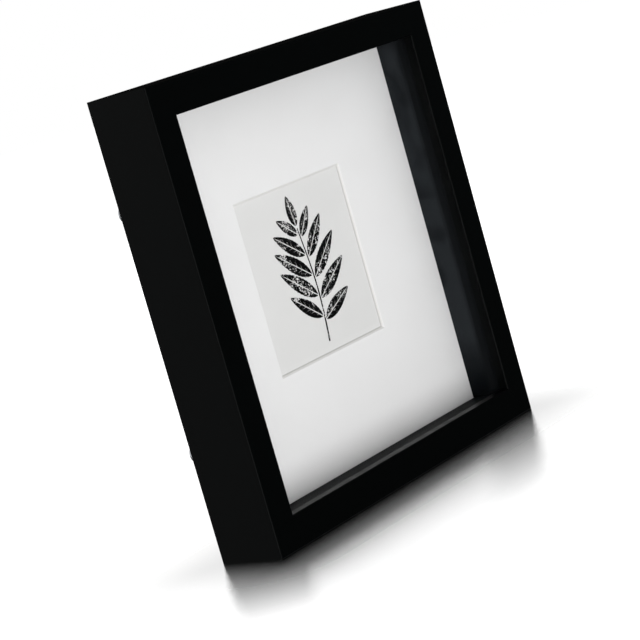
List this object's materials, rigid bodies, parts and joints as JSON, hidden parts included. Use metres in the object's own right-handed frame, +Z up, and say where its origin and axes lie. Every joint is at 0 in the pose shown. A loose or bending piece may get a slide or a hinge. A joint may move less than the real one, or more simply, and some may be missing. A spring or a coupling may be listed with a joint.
{
  "type": "shadow box frame",
  "caption": "Deep square box frame standing upright, with glass, spacer walls, a bevel-cut window mount over a print, and a back panel held by turn buttons.",
  "frame": {"origin": "middle of the frame's width and overall depth, at the foot of the bottom rail", "axes": "-Y towards the viewer, out of the glass; +X to the viewer's right; +Z up, towards the hanger"},
  "size_m": [0.25, 0.044, 0.25],
  "materials": {
    "black_lacquered_wood": "satin",
    "black_spacer_board": "satin",
    "v_nail_steel": "satin",
    "glass": "polished",
    "white_mount_board": "matte",
    "print_paper": "matte",
    "linen_tape": "matte",
    "grey_board": "matte",
    "filler_board": "matte",
    "brown_mdf": "matte",
    "zinc_plated_steel": "satin",
    "black_rubber": "matte"
  },
  "bodies": {
    "frame": {"bottom_rail": "black_lacquered_wood", "left_stile": "black_lacquered_wood", "top_rail": "black_lacquered_wood", "right_stile": "black_lacquered_wood", "corner_v_nails": "v_nail_steel", "glass_pane": "glass", "bottom_spacer": "black_spacer_board", "left_spacer": "black_spacer_board", "top_spacer": "black_spacer_board", "right_spacer": "black_spacer_board", "window_mount": "white_mount_board", "print_sheet": "print_paper", "hinge_tapes": "linen_tape", "undermount": "grey_board", "filler_board": "filler_board", "back_panel": "brown_mdf", "turn_button_screws": "zinc_plated_steel", "sawtooth_hanger": "zinc_plated_steel", "hanger_nails": "zinc_plated_steel", "left_wall_bumper": "black_rubber", "right_wall_bumper": "black_rubber"},
    "turn_button_bottom_left": {"turn_button_bottom_left": "zinc_plated_steel"},
    "turn_button_bottom_right": {"turn_button_bottom_right": "zinc_plated_steel"},
    "turn_button_left_lower": {"turn_button_left_lower": "zinc_plated_steel"},
    "turn_button_left_upper": {"turn_button_left_upper": "zinc_plated_steel"},
    "turn_button_top_left": {"turn_button_top_left": "zinc_plated_steel"},
    "turn_button_top_right": {"turn_button_top_right": "zinc_plated_steel"},
    "turn_button_right_lower": {"turn_button_right_lower": "zinc_plated_steel"},
    "turn_button_right_upper": {"turn_button_right_upper": "zinc_plated_steel"}
  },
  "joints": [
    {"name": "turn_bottom_left", "type": "hinge", "parent": "frame", "child": "turn_button_bottom_left", "pos_m": [-0.065, 0.01955, 0.005], "axis": [0, 1, 0], "continuous": true},
    {"name": "turn_bottom_right", "type": "hinge", "parent": "frame", "child": "turn_button_bottom_right", "pos_m": [0.065, 0.01955, 0.005], "axis": [0, 1, 0], "continuous": true},
    {"name": "turn_left_lower", "type": "hinge", "parent": "frame", "child": "turn_button_left_lower", "pos_m": [-0.12, 0.01955, 0.06], "axis": [0, 1, 0], "continuous": true},
    {"name": "turn_left_upper", "type": "hinge", "parent": "frame", "child": "turn_button_left_upper", "pos_m": [-0.12, 0.01955, 0.19], "axis": [0, 1, 0], "continuous": true},
    {"name": "turn_top_left", "type": "hinge", "parent": "frame", "child": "turn_button_top_left", "pos_m": [-0.065, 0.01955, 0.245], "axis": [0, 1, 0], "continuous": true},
    {"name": "turn_top_right", "type": "hinge", "parent": "frame", "child": "turn_button_top_right", "pos_m": [0.065, 0.01955, 0.245], "axis": [0, 1, 0], "continuous": true},
    {"name": "turn_right_lower", "type": "hinge", "parent": "frame", "child": "turn_button_right_lower", "pos_m": [0.12, 0.01955, 0.06], "axis": [0, 1, 0], "continuous": true},
    {"name": "turn_right_upper", "type": "hinge", "parent": "frame", "child": "turn_button_right_upper", "pos_m": [0.12, 0.01955, 0.19], "axis": [0, 1, 0], "continuous": true}
  ]
}
